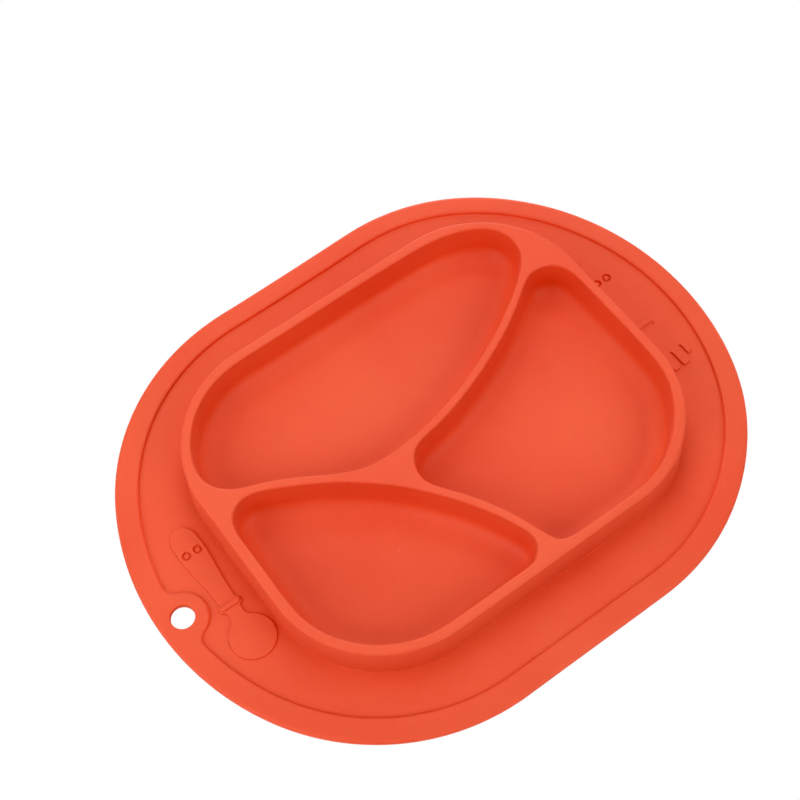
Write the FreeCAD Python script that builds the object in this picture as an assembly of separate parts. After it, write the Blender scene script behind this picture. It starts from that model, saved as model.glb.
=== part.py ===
import FreeCAD, Part
import math, os

# Divided suction plate: an oval silicone placemat with a raised border and a
# hanging hole, a rounded-rectangular tray with three compartments moulded on
# it, cutlery embossed at both ends, and four push-in suction cups underneath.
#
# Frame: millimetres, origin on the table plane below the mat's centre, +Z up.
# +X runs along the long axis towards the hanging hole, -Y is the eater's side.
# The plate is built with its underside at z = 0 and lifted by PLATE_Z at the
# end; the cups are built in place, standing on the table.

Vector = FreeCAD.Vector

# ---------------------------------------------------------------- dimensions
PLATE_Z = 5.9            # plate underside above the table
TOL = 1e-4               # tolerance of the edge selectors

# mat: straight long sides, blended into wide end arcs
MAT_HALF_LENGTH = 135.0
MAT_HALF_WIDTH = 108.6
MAT_END_RADIUS = 119.9
MAT_BLEND_RADIUS = 98.4
MAT_T = 1.2              # mat thickness
BORDER_W = 10.0          # width of the raised border band
BORDER_T = 2.8           # thickness at the border
BORDER_EDGE_R = 1.3      # rounding of the border's outer top edge
BORDER_STEP_R = 0.8      # rounding of the border's inner top edge

# hanging hole in a round lug on the border
HOLE_X, HOLE_Y = 124.5, 1.6
HOLE_R = 5.0
LUG_R = 10.8             # bulge of the border round the hole
LUG_BLEND_R = 5.0        # concave blends back to the border

# tray
TRAY_X, TRAY_Y = -1.7, -1.0
TRAY_HALF_LENGTH = 95.8
TRAY_HALF_WIDTH = 77.4
TRAY_CORNER_R = 49.8
TRAY_H = 18.7            # rim height above the underside
TRAY_DRAFT = 0.7         # the outside wall leans out by this much from rim to base
TRAY_TOP_R = 1.0         # rounding of the rim's outer edge
TRAY_BASE_R = 0.6        # fillet between tray wall and mat

# compartments
RIM_EDGE = 0.9           # rounding of the rim's inner edge
RIM_OVERRUN = 4.0        # how far the cutting solid rises above the rim
FLOOR_Z = 1.5            # compartment floor height above the underside
WALL_DRAFT = 1.1         # inward run of the wall from rim to fillet
FLOOR_R = 6.0            # fillet between wall and floor
FLOOR_PULL = 0.16        # fillet control point, as a share of FLOOR_R from the corner
RING_N = 96              # points round a compartment outline
DENSE_N = 1600           # samples used to space those points evenly
TIGHT_SHARE = 0.72       # largest inward offset, as a share of the corner radius
EASE_PASSES = 6          # smoothing passes over the limited offsets

# suction cups
CUP_R = 19.0             # lip radius
CUP_LIP_T = 0.8          # thickness at the lip
CUP_LIP_BEVEL = 0.2      # bevel of the lip's bottom edge
CUP_LIP_W = 2.2          # from the hollow's mouth to the lip's outer edge
CUP_TOP_Z = 2.75         # top of the flattened dome
CUP_TOP_R = 6.5          # flat on top of the dome
CUP_CAVE = 1.3           # depth of the suction hollow
CUP_CAVE_FLAT_R = 4.0    # flat ceiling of the hollow
CUP_NECK_R = 3.05
CUP_HEAD_R = 4.4
CUP_HEAD_T = 1.0
CUP_HEAD_RIM_T = 0.4     # straight part of the head's side
CUP_HEAD_TAPER = 0.8     # radius lost between the head's side and its top
CUP_TRAVEL = 1.2         # how far a cup drops in its socket when lifted off
SOCKET_MOUTH_R = 3.10
SOCKET_CHAMBER_R = 4.7
SOCKET_LIP_T = 1.0
SOCKET_GAP = 0.1         # axial clearance at each end of the travel
BOSS_R = 8.0
BOSS_FLARE = 0.5         # radius gained from the boss's bottom to its top
BOSS_DROP = 3.0          # boss height below the plate's underside
BOSS_SINK = 0.5          # overlap of the boss into the plate
CUPS = {
    "suction_cup_front_left": (-45.0, -46.0),
    "suction_cup_front_right": (48.0, -43.0),
    "suction_cup_back_left": (-42.0, 33.0),
    "suction_cup_back_right": (52.0, 33.0),
}

# embossed cutlery
EMBOSS_H = 0.9
EMBOSS_SINK = 0.5        # overlap of the emboss into the mat
COLLAR_H = 1.3           # the collar bar stands a little higher than the rest
COLLAR_Y = 8.3
COLLAR_HALF_LENGTH, COLLAR_HALF_WIDTH, COLLAR_CORNER_R = 5.0, 1.9, 1.75
SPOON_X, SPOON_Y = 106.4, 0.0
FORK_X, FORK_Y = -107.8, 0.0
SPOON_BOWL_R, SPOON_BOWL_Y = 9.7, 24.8
SLOT_W, SLOT_H = 1.3, 4.0
SLOT_END_Y = 40.0        # past the fork's tips
SLOTS = ((-5.35, 25.5), (0.0, 25.9), (5.35, 25.5))   # centre x, start y
DIMPLE_R = 1.9
DIMPLE_DEPTH = 0.6
DIMPLE_X, DIMPLE_Y = 2.65, -19.8   # from the cutlery's origin, one each side

# Cutlery half outlines (x, y) from top centre down the +x side to bottom centre
HANDLE_HALF = [
    (0, 8.0), (1.8, 8.0), (3.6, 7.6), (3.75, 5.0), (4.2, -2.0), (4.9, -10.0),
    (5.6, -17.0), (5.85, -22.0), (5.3, -26.5), (3.9, -30.0), (2.0, -32.0), (0, -32.6)]
SPOON_NECK_HALF = [
    (0, 18.5), (3.0, 18.0), (4.4, 16.6), (3.4, 14.4), (3.25, 11.8), (3.25, 9.2),
    (1.6, 8.4), (0, 8.4)]
FORK_HEAD_HALF = [
    (0, 34.5), (2.4, 34.5), (4.9, 33.6), (7.0, 31.7), (8.4, 29.8), (9.15, 27.0),
    (9.25, 23.5), (8.1, 20.0), (5.4, 17.0), (3.6, 14.4), (3.3, 11.8), (3.3, 9.2),
    (1.6, 8.4), (0, 8.4)]

# Compartment outlines at rim level: (x, y) poles of uniform periodic cubic splines
FRONT = [
    (82.3, -54.7), (74.5, -63.8), (63.8, -70.4), (51.6, -74.05), (36.7, -74.05),
    (19.2, -74.05), (2.1, -74.05), (-14.8, -74.05), (-32.6, -73.85), (-49.3, -73.7),
    (-62.8, -71.7), (-73.4, -67.2), (-80.7, -61.4), (-83.5, -53.6), (-82.3, -44.9),
    (-76.2, -37.8), (-65.4, -29.7), (-51.3, -20.9), (-35.9, -13.6), (-20.4, -7.4),
    (-4.2, -2.9), (11.7, -0.5), (25.7, 0.1), (38.1, -3.0), (50.2, -10.8),
    (64.0, -19.3), (76.7, -23.8), (84.5, -28.4), (88.2, -36.7), (87.1, -45.5)]
BACK_LEFT = [
    (13.1, 5.4), (6.9, 2.0), (-4.1, 0.9), (-19.0, -3.1), (-34.2, -8.7),
    (-48.9, -15.5), (-63.0, -23.5), (-72.6, -30.9), (-79.3, -34.5), (-86.4, -33.1),
    (-91.9, -28.6), (-93.4, -21.2), (-93.5, -8.9), (-93.5, 8.2), (-93.5, 25.0),
    (-92.6, 37.8), (-87.7, 48.6), (-80.1, 58.4), (-70.3, 66.2), (-59.2, 71.3),
    (-46.6, 72.7), (-31.4, 72.5), (-18.7, 72.6), (-10.4, 71.6), (-7.5, 64.3),
    (-4.2, 53.0), (2.4, 39.1), (10.6, 27.1), (16.4, 19.5), (16.6, 12.4)]
BACK_RIGHT = [
    (86.8, -16.3), (81.6, -19.7), (75.8, -19.9), (67.7, -16.4), (56.4, -10.2),
    (44.7, -2.8), (34.4, 5.7), (24.8, 14.7), (16.5, 25.2), (8.5, 36.6),
    (2.0, 48.3), (-1.9, 57.7), (-3.6, 63.9), (-1.0, 69.1), (3.4, 72.2),
    (11.0, 72.2), (23.9, 72.15), (39.0, 72.15), (51.4, 72.0), (61.8, 69.0),
    (71.4, 63.6), (79.5, 56.3), (85.4, 47.3), (89.1, 37.3), (89.7, 25.5),
    (89.5, 11.1), (89.5, -2.3), (89.5, -10.9)]


# ------------------------------------------------------------ plan outlines
def arc_edge(x, y, radius, start, end, z=0.0):
    points = [Vector(x + radius * math.cos(angle), y + radius * math.sin(angle), z)
              for angle in (start, 0.5 * (start + end), end)]
    return Part.Arc(*points).toShape()


def line_edge(start, end):
    return Part.LineSegment(start, end).toShape()


def sorted_wire(edges):
    return Part.Wire(Part.__sortEdges__(edges))


def mat_oval(inset):
    """The mat's outline moved inward: straight long sides, blend and end arcs."""
    half_length = MAT_HALF_LENGTH - inset
    half_width = MAT_HALF_WIDTH - inset
    end_r = MAT_END_RADIUS - inset
    blend_r = MAT_BLEND_RADIUS - inset
    end_x = half_length - end_r
    blend_y = half_width - blend_r
    blend_x = end_x + math.sqrt((end_r - blend_r) ** 2 - blend_y ** 2)
    join = math.atan2(blend_y, blend_x - end_x)   # angle where blend meets end arc
    pi = math.pi
    return sorted_wire([
        line_edge(Vector(-blend_x, half_width, 0), Vector(blend_x, half_width, 0)),
        arc_edge(blend_x, blend_y, blend_r, pi / 2, join),
        arc_edge(end_x, 0, end_r, join, -join),
        arc_edge(blend_x, -blend_y, blend_r, -join, -pi / 2),
        line_edge(Vector(blend_x, -half_width, 0), Vector(-blend_x, -half_width, 0)),
        arc_edge(-blend_x, -blend_y, blend_r, -pi / 2, -pi + join),
        arc_edge(-end_x, 0, end_r, -pi + join, -pi - join),
        arc_edge(-blend_x, blend_y, blend_r, -pi - join, -1.5 * pi),
    ])


def rounded_rect(x, y, half_length, half_width, corner_r, z=0.0):
    side_x = half_length - corner_r
    side_y = half_width - corner_r
    corners = ((side_x, side_y), (-side_x, side_y), (-side_x, -side_y), (side_x, -side_y))
    edges = [arc_edge(x + dx, y + dy, corner_r, i * math.pi / 2, (i + 1) * math.pi / 2, z)
             for i, (dx, dy) in enumerate(corners)]
    sides = (
        ((side_x, half_width), (-side_x, half_width)),
        ((-half_length, side_y), (-half_length, -side_y)),
        ((-side_x, -half_width), (side_x, -half_width)),
        ((half_length, -side_y), (half_length, side_y)),
    )
    for start, end in sides:
        edges.append(line_edge(Vector(x + start[0], y + start[1], z),
                               Vector(x + end[0], y + end[1], z)))
    return sorted_wire(edges)


def prism(wire, bottom, top):
    base = wire.copy()
    base.translate(Vector(0, 0, bottom))
    return Part.Face(base).extrude(Vector(0, 0, top - bottom))


# --------------------------------------------------------- compartment rings
def spline_points(poles, count):
    """Points (x, y, tangent x, tangent y, signed curvature) on the uniform
    periodic cubic spline."""
    out = []
    for k in range(count):
        u = k * len(poles) / float(count)
        i = int(u)
        t = u - i
        near = [poles[(i + j - 1) % len(poles)] for j in range(4)]
        position = ((1 - t) ** 3 / 6, (3 * t ** 3 - 6 * t * t + 4) / 6,
                    (-3 * t ** 3 + 3 * t * t + 3 * t + 1) / 6, t ** 3 / 6)
        first = (-(1 - t) ** 2 / 2, (3 * t * t - 4 * t) / 2,
                 (-3 * t * t + 2 * t + 1) / 2, t * t / 2)
        second = (1 - t, 3 * t - 2, -3 * t + 1, t)
        (x, y), (dx, dy), (ddx, ddy) = [
            [sum(weights[j] * near[j][axis] for j in range(4)) for axis in (0, 1)]
            for weights in (position, first, second)]
        speed = math.hypot(dx, dy)
        out.append((x, y, dx / speed, dy / speed, (dx * ddy - dy * ddx) / speed ** 3))
    return out


def even_points(poles, count):
    """The same curve sampled evenly along its length."""
    dense = spline_points(poles, DENSE_N)
    lengths = [0.0]
    for k in range(DENSE_N):
        here, after = dense[k], dense[(k + 1) % DENSE_N]
        lengths.append(lengths[-1] + math.hypot(after[0] - here[0], after[1] - here[1]))
    out, j = [], 0
    for k in range(count):
        target = lengths[-1] * k / count
        while lengths[j + 1] < target:
            j += 1
        out.append(dense[j])
    return out


def offset_ring(ring, distance):
    """Move a ring inward, easing off where the corner is too tight."""
    n = len(ring)
    area = sum(ring[k][0] * ring[(k + 1) % n][1] - ring[(k + 1) % n][0] * ring[k][1]
               for k in range(n))
    turn = 1.0 if area > 0 else -1.0
    moves = []
    for point in ring:
        bend = point[4] * turn            # positive where the wall is convex
        radius = 1.0 / bend if bend > 1e-6 else 1e6
        moves.append(min(distance, TIGHT_SHARE * radius) if distance > 0 else distance)
    for _ in range(EASE_PASSES):
        moves = [0.25 * moves[k - 1] + 0.5 * moves[k] + 0.25 * moves[(k + 1) % n]
                 for k in range(n)]
    return [(x - ty * turn * move, y + tx * turn * move)
            for (x, y, tx, ty, _), move in zip(ring, moves)]


def poles_through(points):
    """Poles of a uniform periodic cubic spline passing close to the points."""
    out = []
    for k, here in enumerate(points):
        before, after = points[k - 1], points[(k + 1) % len(points)]
        out.append(tuple(here[i] - (before[i] + after[i] - 2 * here[i]) / 6.0
                         for i in (0, 1)))
    return out


def ring_cap(poles, z):
    n = len(poles)
    curve = Part.BSplineCurve()
    curve.buildFromPolesMultsKnots([Vector(x, y, z) for x, y in poles], [1] * (n + 1),
                                   [float(k) for k in range(n + 1)], True, 3)
    return Part.Face(Part.Wire([curve.toShape()]))


def ring_solid(ring, profile):
    """Closed solid whose side runs through (inward offset, z) profile rows.
    Rows come as quadratic pieces: end, control, end, control, end ..."""
    rows = [poles_through(offset_ring(ring, distance)) for distance, z in profile]
    n = len(ring)
    pieces = (len(profile) - 1) // 2
    grid = [[Vector(row[i][0], row[i][1], z) for row, (_, z) in zip(rows, profile)]
            for i in range(n)]
    side = Part.BSplineSurface()
    side.buildFromPolesMultsKnots(
        grid, [1] * (n + 1), [3] + [2] * (pieces - 1) + [3],
        [float(k) for k in range(n + 1)], [float(k) for k in range(pieces + 1)],
        True, False, 3, 2)
    shell = Part.makeShell([side.toShape(), ring_cap(rows[0], profile[0][1]),
                            ring_cap(rows[-1], profile[-1][1])])
    shell.sewShape()
    solid = Part.makeSolid(shell)
    if solid.Volume < 0:
        solid.reverse()
    return solid


def compartment(poles):
    """Cutting solid of one compartment."""
    fillet_top = FLOOR_Z + FLOOR_R
    pull = FLOOR_PULL * FLOOR_R
    profile = [
        # straight up past the rim
        (-RIM_EDGE, TRAY_H + RIM_OVERRUN),
        (-RIM_EDGE, TRAY_H + RIM_OVERRUN / 2),
        (-RIM_EDGE, TRAY_H),
        # rounded rim edge
        (-0.15, TRAY_H - 0.12),
        (0.05, TRAY_H - 1.1 * RIM_EDGE),
        # leaning wall
        (0.5 * WALL_DRAFT, 0.5 * (TRAY_H + fillet_top)),
        (WALL_DRAFT, fillet_top),
        # fillet to the floor
        (WALL_DRAFT + pull, FLOOR_Z + pull),
        (WALL_DRAFT + FLOOR_R, FLOOR_Z),
    ]
    return ring_solid(even_points(poles, RING_N), profile)


# ----------------------------------------------------------- cutlery emboss
def emboss(wire, x, y, height=EMBOSS_H):
    placed = wire.copy()
    placed.translate(Vector(x, y, 0))
    return prism(placed, MAT_T - EMBOSS_SINK, MAT_T + height)


def emboss_half(half, x, y):
    """Emboss a closed spline through a half outline and its mirror image."""
    points = half + [(-px, py) for px, py in half[-2:0:-1]]
    curve = Part.BSplineCurve()
    curve.interpolate(Points=[Vector(px, py, 0) for px, py in points], PeriodicFlag=True)
    return emboss(Part.Wire([curve.toShape()]), x, y)


def handle_and_collar(x, y):
    collar = rounded_rect(0, COLLAR_Y, COLLAR_HALF_LENGTH, COLLAR_HALF_WIDTH, COLLAR_CORNER_R)
    return emboss_half(HANDLE_HALF, x, y).fuse(emboss(collar, x, y, COLLAR_H))


def spoon(x, y):
    neck = emboss_half(SPOON_NECK_HALF, x, y)
    bowl = Part.makeCylinder(SPOON_BOWL_R, EMBOSS_H + EMBOSS_SINK,
                             Vector(x, y + SPOON_BOWL_Y, MAT_T - EMBOSS_SINK))
    return handle_and_collar(x, y).fuse(neck).fuse(bowl)


def fork(x, y):
    head = emboss_half(FORK_HEAD_HALF, x, y)
    slots = [Part.makeBox(SLOT_W, SLOT_END_Y - start, SLOT_H,
                          Vector(x + slot_x - SLOT_W / 2, y + start, MAT_T))
             for slot_x, start in SLOTS]
    return handle_and_collar(x, y).fuse(head.cut(Part.makeCompound(slots)))


def dimples(x, y):
    """Balls that cut two round dimples near the end of a handle."""
    ball_r = (DIMPLE_R ** 2 + DIMPLE_DEPTH ** 2) / (2 * DIMPLE_DEPTH)
    z = MAT_T + EMBOSS_H - DIMPLE_DEPTH + ball_r
    return [Part.makeSphere(ball_r, Vector(x + dx, y + DIMPLE_Y, z))
            for dx in (-DIMPLE_X, DIMPLE_X)]


# -------------------------------------------------------------------- plate
def is_lug_corner(edge):
    """True for the upright edges where the lug meets the border."""
    if len(edge.Vertexes) != 2:
        return False
    one, two = edge.Vertexes
    return (abs(one.X - two.X) < TOL and abs(one.Y - two.Y) < TOL
            and one.X > 110 and abs(one.Y - HOLE_Y) < 1.5 * LUG_R)


def is_step_edge(edge, inner):
    """True for border-height edges on the inner outline or close to the lug."""
    box = edge.BoundBox
    if abs(box.ZMin - BORDER_T) >= TOL or abs(box.ZMax - BORDER_T) >= TOL:
        return False
    middle = edge.valueAt(0.5 * (edge.FirstParameter + edge.LastParameter))
    gap = inner.distToShape(Part.Vertex(Vector(middle.x, middle.y, 0)))[0]
    to_hole = math.hypot(middle.x - HOLE_X, middle.y - HOLE_Y)
    return gap < 0.2 or to_hole < LUG_R + LUG_BLEND_R


def mat_with_border():
    inner = mat_oval(BORDER_W)
    full = prism(mat_oval(0), 0, BORDER_T)
    # the field is the space above the mat, inside the border and off the lug
    field = prism(inner, MAT_T, BORDER_T + 2)
    field = field.cut(Part.makeCylinder(LUG_R, BORDER_T + 4, Vector(HOLE_X, HOLE_Y, 0)))
    field = field.makeFillet(LUG_BLEND_R, [e for e in field.Edges if is_lug_corner(e)])
    body = full.cut(field)

    outer_edges = []
    for face in body.Faces:
        if (isinstance(face.Surface, Part.Plane) and face.normalAt(0.5, 0.5).z > 0.9
                and abs(face.BoundBox.ZMax - BORDER_T) < TOL):
            for wire in face.Wires:
                if wire.BoundBox.XLength > 2 * MAT_HALF_LENGTH - 1:
                    outer_edges += wire.Edges
    body = body.makeFillet(BORDER_EDGE_R, outer_edges)
    step_edges = [e for e in body.Edges if is_step_edge(e, inner)]
    if step_edges:
        body = body.makeFillet(BORDER_STEP_R, step_edges)
    return body


def is_level(edge, z):
    return edge.BoundBox.ZLength < TOL and abs(edge.BoundBox.ZMin - z) < TOL


def within_tray(edge):
    box = edge.BoundBox
    reach_x = TRAY_HALF_LENGTH + TRAY_DRAFT + 0.1
    reach_y = TRAY_HALF_WIDTH + TRAY_DRAFT + 0.1
    return (box.XMax < TRAY_X + reach_x and box.XMin > TRAY_X - reach_x
            and box.YMax < TRAY_Y + reach_y and box.YMin > TRAY_Y - reach_y)


def add_tray(body):
    """Fuse on the solid tray block, its outside wall leaning out to the mat."""
    foot, top = [
        rounded_rect(TRAY_X, TRAY_Y, TRAY_HALF_LENGTH + grow, TRAY_HALF_WIDTH + grow,
                     TRAY_CORNER_R + grow, z)
        for grow, z in ((TRAY_DRAFT, 0.0), (0.0, TRAY_H))]
    body = body.fuse(Part.makeLoft([foot, top], True, True)).removeSplitter()
    base_edges = [e for e in body.Edges if is_level(e, MAT_T) and within_tray(e)]
    body = body.makeFillet(TRAY_BASE_R, base_edges)
    return body.makeFillet(TRAY_TOP_R, [e for e in body.Edges if is_level(e, TRAY_H)])


def add_sockets(body):
    """Bosses under the compartment floors, hollowed to hold the cup heads."""
    for x, y in CUPS.values():
        body = body.fuse(Part.makeCone(BOSS_R, BOSS_R + BOSS_FLARE, BOSS_DROP + BOSS_SINK,
                                       Vector(x, y, -BOSS_DROP)))
    body = body.removeSplitter()
    chamber_h = CUP_HEAD_T + CUP_TRAVEL + 2 * SOCKET_GAP
    for x, y in CUPS.values():
        mouth = Part.makeCylinder(SOCKET_MOUTH_R, SOCKET_LIP_T + 2,
                                  Vector(x, y, -BOSS_DROP - 1))
        chamber = Part.makeCylinder(SOCKET_CHAMBER_R, chamber_h,
                                    Vector(x, y, -BOSS_DROP + SOCKET_LIP_T))
        body = body.cut(mouth.fuse(chamber))
    return body


def build_plate():
    body = add_tray(mat_with_border())
    for poles in (FRONT, BACK_LEFT, BACK_RIGHT):
        body = body.cut(compartment(poles))
    body = add_sockets(body)
    for piece in (spoon(SPOON_X, SPOON_Y), fork(FORK_X, FORK_Y)):
        body = body.fuse(piece)
    for ball in dimples(SPOON_X, SPOON_Y) + dimples(FORK_X, FORK_Y):
        body = body.cut(ball)
    body = body.cut(Part.makeCylinder(HOLE_R, 10, Vector(HOLE_X, HOLE_Y, -3)))
    body = body.removeSplitter()
    body.translate(Vector(0, 0, PLATE_Z))
    return body


# --------------------------------------------------------------------- cups
def section_lines(points):
    """Straight edges through (radius, z) points."""
    corners = [Vector(radius, 0, z) for radius, z in points]
    return [line_edge(start, end) for start, end in zip(corners, corners[1:])]


def section_curve(points):
    """One smooth edge through (radius, z) points."""
    curve = Part.BSplineCurve()
    curve.interpolate(Points=[Vector(radius, 0, z) for radius, z in points])
    return [curve.toShape()]


def build_cup(x, y):
    """Flattened cup: lip on the table, neck and head in the socket."""
    head_top = (PLATE_Z - BOSS_DROP + SOCKET_LIP_T + CUP_HEAD_T + CUP_TRAVEL
                + SOCKET_GAP)
    head_bottom = head_top - CUP_HEAD_T
    # section corners (radius, z) shared by neighbouring edges
    axis_bottom = (0, CUP_CAVE)
    cave_flat = (CUP_CAVE_FLAT_R, CUP_CAVE)
    cave_mouth = (CUP_R - CUP_LIP_W, 0)
    lip_top = (CUP_R, CUP_LIP_T - 0.25)
    dome_top = (CUP_TOP_R, CUP_TOP_Z)
    edges = (
        section_lines([axis_bottom, cave_flat])
        + section_curve([cave_flat, (8.0, 0.92 * CUP_CAVE), (13.0, 0.5 * CUP_CAVE),
                         cave_mouth])
        + section_lines([cave_mouth, (CUP_R - CUP_LIP_BEVEL, 0), (CUP_R, CUP_LIP_BEVEL),
                         lip_top])
        + section_curve([lip_top, (CUP_R - 2.5, CUP_LIP_T + 0.25), (13.5, 1.75),
                         (9.5, 2.45), dome_top])
        + section_lines([dome_top, (CUP_NECK_R, CUP_TOP_Z), (CUP_NECK_R, head_bottom),
                         (CUP_HEAD_R, head_bottom),
                         (CUP_HEAD_R, head_bottom + CUP_HEAD_RIM_T),
                         (CUP_HEAD_R - CUP_HEAD_TAPER, head_top),
                         (0, head_top), axis_bottom]))
    cup = Part.Face(sorted_wire(edges)).revolve(Vector(0, 0, 0), Vector(0, 0, 1), 360)
    if cup.Volume < 0:
        cup.reverse()
    cup.translate(Vector(x, y, 0))
    return cup


# -------------------------------------------------------------------- write
os.makedirs("parts", exist_ok=True)
shapes = {"plate_body": build_plate()}
for name, (x, y) in CUPS.items():
    shapes[name] = build_cup(x, y)
for name, shape in shapes.items():
    if len(shape.Solids) == 1:
        shape = shape.Solids[0]
    shape.exportStep("parts/%s.step" % name)
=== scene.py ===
# A child's divided suction plate: one silicone moulding (oval mat, raised tray with three
# compartments, embossed spoon and fork, hanging hole) standing on four soft suction cups.
# It lies flat, centred near the origin: +X right, +Y back, +Z up, with the table at z = 0.
# Sizes are millimetres; they become metres when a mesh is made. Heights on the plate count
# from its own underside.
import math

import bpy
import numpy as np
from mathutils import Matrix, Vector, geometry


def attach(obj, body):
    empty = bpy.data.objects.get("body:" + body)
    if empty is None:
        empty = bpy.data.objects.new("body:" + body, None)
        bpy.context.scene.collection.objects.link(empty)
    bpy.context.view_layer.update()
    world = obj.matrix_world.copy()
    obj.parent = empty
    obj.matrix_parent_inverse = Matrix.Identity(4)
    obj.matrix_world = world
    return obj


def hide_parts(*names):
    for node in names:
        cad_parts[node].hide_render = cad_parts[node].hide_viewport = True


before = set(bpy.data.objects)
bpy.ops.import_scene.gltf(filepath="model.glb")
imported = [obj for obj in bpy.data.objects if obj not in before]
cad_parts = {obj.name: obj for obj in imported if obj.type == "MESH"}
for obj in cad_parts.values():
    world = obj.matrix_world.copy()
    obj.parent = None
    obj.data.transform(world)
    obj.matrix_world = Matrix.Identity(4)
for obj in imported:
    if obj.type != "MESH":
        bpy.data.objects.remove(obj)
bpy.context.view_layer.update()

PI = math.pi
METRES_PER_MM = 0.001

# ------------------------------------------------------------------ dimensions
# mat: an oval of end arcs and flatter side arcs, with a thicker border
MAT_HALF_X, MAT_HALF_Y = 135.0, 108.6
MAT_END_R, MAT_SIDE_R = 119.9, 98.4
MAT_T = 1.2
BORDER_W, BORDER_T = 10.0, 2.8
MAT_TOP_R, MAT_BOTTOM_R = 1.3, 0.8         # rounding of the outer edge
MAT_TOP_SPREAD = 1.5                       # top rounding is this much wider than high

# hanging hole at the right end, and the border's lug round it
HOLE = (124.5, 1.6)
HOLE_R, HOLE_EDGE_R = 5.0, 0.55
LUG_R, LUG_BLEND_R = 10.8, 5.0

# border step: concave foot, then a rounded crest
STEP_FOOT_W, STEP_FOOT_H = 0.75, 0.7
STEP_CREST_W, STEP_CREST_H = 1.45, 0.8
STEP_LEAN = 0.03
SOFT_FOOT_W, SOFT_CREST_W = 1.5, 0.5       # added where the step is softer
SOFT_FROM, SOFT_TO, SOFT_FADE = -154, -118, 4    # degrees: the front left

# tray
TRAY_CENTRE = (-1.7, -1.0)
TRAY_HALF_X, TRAY_HALF_Y, TRAY_CORNER_R, TRAY_H = 95.8, 77.4, 49.8, 18.7
TRAY_DRAFT, TRAY_TOP_R, TRAY_BASE_R = 0.7, 1.0, 0.2

# compartments
RIM_R, FLOOR_Z, WALL_DRAFT = 0.9, 1.5, 1.1
FLOOR_R, FLOOR_EASE = 6.0, 2.5             # fillet height, and its extra width

# sockets under the plate
PLATE_Z = 5.9                              # plate's underside above the table
BOSS_DROP, BOSS_R = 3.0, 8.0
MOUTH_R, MOUTH_LIP_T = 3.10, 1.0
CHAMBER_R, CHAMBER_H = 4.7, 2.4
CUPS = {
    "suction_cup_front_left": (-45.0, -46.0),
    "suction_cup_front_right": (48.0, -43.0),
    "suction_cup_back_left": (-42.0, 33.0),
    "suction_cup_back_right": (52.0, 33.0),
}

# embossed cutlery
SPOON_AT, FORK_AT = (106.4, 0.0), (-107.8, 0.0)
EMBOSS_H, EMBOSS_EDGE_R, EMBOSS_LEAN = 0.9, 0.36, 0.03
COLLAR_H, COLLAR_Y = 1.65, 8.35
COLLAR_HALF_X, COLLAR_HALF_Y, COLLAR_CORNER_R = 4.55, 1.32, 1.25
DIMPLE_X, DIMPLE_Y = 2.65, -19.8

# mesh divisions
COMPARTMENT_POINTS, TRAY_POINTS, MAT_POINTS = 460, 620, 900
COLLAR_POINTS, HOLE_SIDES, DIMPLE_SIDES, BOSS_SIDES, CUP_SIDES = 110, 120, 40, 72, 128

# Compartment walls: (x, y) poles of closed cubic splines
FRONT = [
    (82.3, -54.7), (74.5, -63.8), (63.8, -70.4), (51.6, -74.05), (36.7, -74.05), (19.2, -74.05),
    (2.1, -74.05), (-14.8, -74.05), (-32.6, -73.85), (-49.3, -73.7), (-62.8, -71.7),
    (-73.4, -67.2), (-80.7, -61.4), (-83.5, -53.6), (-82.3, -44.9), (-76.2, -37.8),
    (-65.4, -29.7), (-51.3, -20.9), (-35.9, -13.6), (-20.4, -7.4), (-4.2, -2.9), (11.7, -0.5),
    (25.7, 0.1), (38.1, -3.0), (50.2, -10.8), (64.0, -19.3), (76.7, -23.8), (84.5, -28.4),
    (88.2, -36.7), (87.1, -45.5)]
BACK_LEFT = [
    (13.1, 5.4), (6.9, 2.0), (-4.1, 0.9), (-19.0, -3.1), (-34.2, -8.7), (-48.9, -15.5),
    (-63.0, -23.5), (-72.6, -30.9), (-79.3, -34.5), (-86.4, -33.1), (-91.9, -28.6),
    (-93.4, -21.2), (-93.5, -8.9), (-93.5, 8.2), (-93.5, 25.0), (-92.6, 37.8), (-87.7, 48.6),
    (-80.1, 58.4), (-70.3, 66.2), (-59.2, 71.3), (-46.6, 72.7), (-31.4, 72.5), (-18.7, 72.6),
    (-10.4, 71.6), (-7.5, 64.3), (-4.2, 53.0), (2.4, 39.1), (10.6, 27.1), (16.4, 19.5),
    (16.6, 12.4)]
BACK_RIGHT = [
    (86.8, -16.3), (81.6, -19.7), (75.8, -19.9), (67.7, -16.4), (56.4, -10.2), (44.7, -2.8),
    (34.4, 5.7), (24.8, 14.7), (16.5, 25.2), (8.5, 36.6), (2.0, 48.3), (-1.9, 57.7),
    (-3.6, 63.9), (-1.0, 69.1), (3.4, 72.2), (11.0, 72.2), (23.9, 72.15), (39.0, 72.15),
    (51.4, 72.0), (61.8, 69.0), (71.4, 63.6), (79.5, 56.3), (85.4, 47.3), (89.1, 37.3),
    (89.7, 25.5), (89.5, 11.1), (89.5, -2.3), (89.5, -10.9)]

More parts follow.
